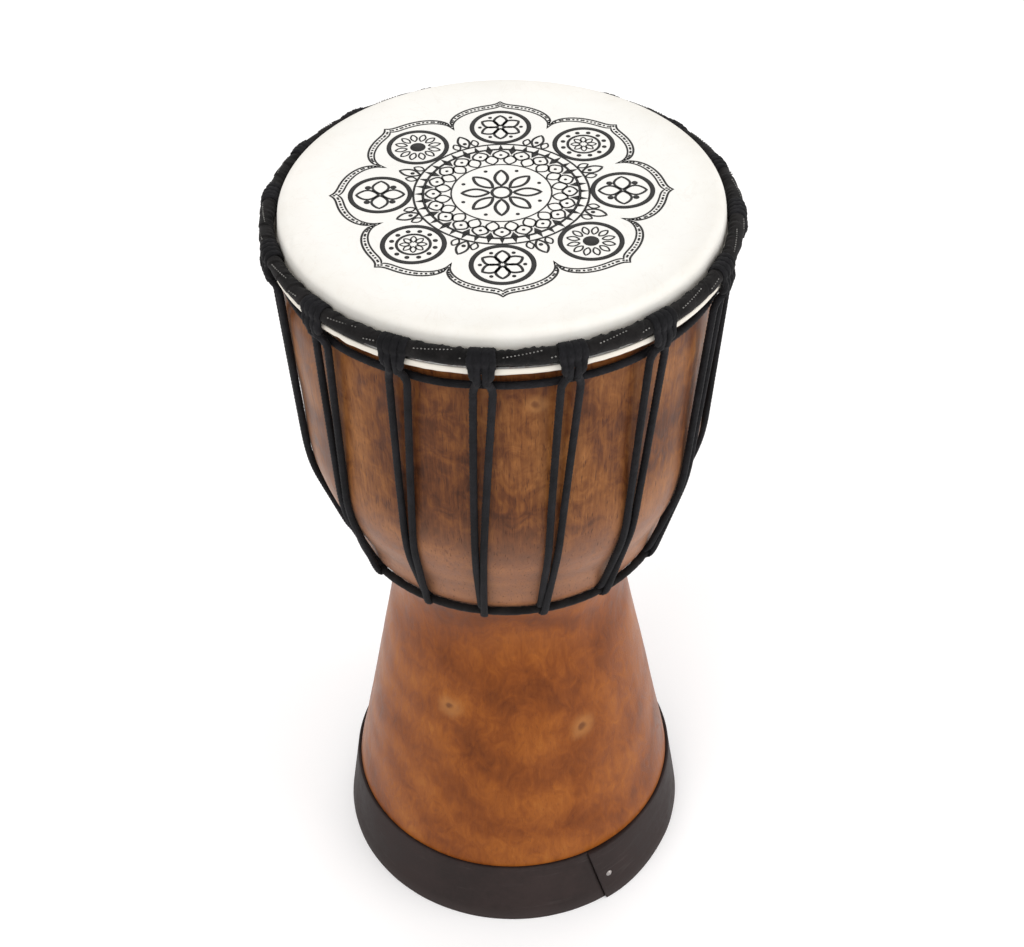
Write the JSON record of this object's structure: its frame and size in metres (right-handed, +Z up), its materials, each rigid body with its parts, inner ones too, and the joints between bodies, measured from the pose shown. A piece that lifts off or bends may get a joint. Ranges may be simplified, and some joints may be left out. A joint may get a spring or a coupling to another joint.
{
  "type": "rope-tuned goblet hand drum",
  "caption": "Goblet-shaped hand drum: hollow carved wooden shell with a skin stretched over the top, held by a cloth-bound ring and laced with black rope down to a ring at the waist.",
  "frame": {"origin": "centre of the foot's resting face on the floor, on the drum's axis", "axes": "+Z up along the drum's axis from the foot to the skin, -Y towards the front, +X to the front viewer's right"},
  "size_m": [0.2618, 0.262, 0.5],
  "materials": {
    "carved_wood": "stained hardwood, satin oiled, carved and sanded by hand",
    "goat_skin": "bleached shaved rawhide, matt",
    "steel": "plain round bar, welded, bound over with cloth or skin",
    "black_cloth": "black cotton strip wound tight, small light stitches",
    "black_rope": "black braided low-stretch cord",
    "band_rubber": "matt dark sheet rubber, lapped and tacked",
    "nail_steel": "small round-headed tack"
  },
  "bodies": {
    "root": {"shell": "carved_wood", "drumhead": "goat_skin", "flesh_hoop": "steel", "crown_ring": "steel", "crown_ring_cloth": "black_cloth", "waist_ring": "steel", "waist_ring_cloth": "black_cloth", "link_rope": "black_rope", "foot_band": "band_rubber", "foot_band_nail": "nail_steel", "lace_01": "black_rope", "lace_02": "black_rope", "lace_03": "black_rope", "lace_04": "black_rope", "lace_05": "black_rope", "lace_06": "black_rope", "lace_07": "black_rope", "lace_08": "black_rope", "lace_09": "black_rope", "lace_10": "black_rope", "lace_11": "black_rope", "lace_12": "black_rope", "lace_13": "black_rope", "lace_14": "black_rope", "lace_15": "black_rope", "lace_16": "black_rope", "crown_hitch_01": "black_rope", "crown_hitch_02": "black_rope", "crown_hitch_03": "black_rope", "crown_hitch_04": "black_rope", "crown_hitch_05": "black_rope", "crown_hitch_06": "black_rope", "crown_hitch_07": "black_rope", "crown_hitch_08": "black_rope", "crown_hitch_09": "black_rope", "crown_hitch_10": "black_rope", "crown_hitch_11": "black_rope", "crown_hitch_12": "black_rope", "crown_hitch_13": "black_rope", "crown_hitch_14": "black_rope", "crown_hitch_15": "black_rope", "crown_hitch_16": "black_rope"}
  },
  "joints": []
}
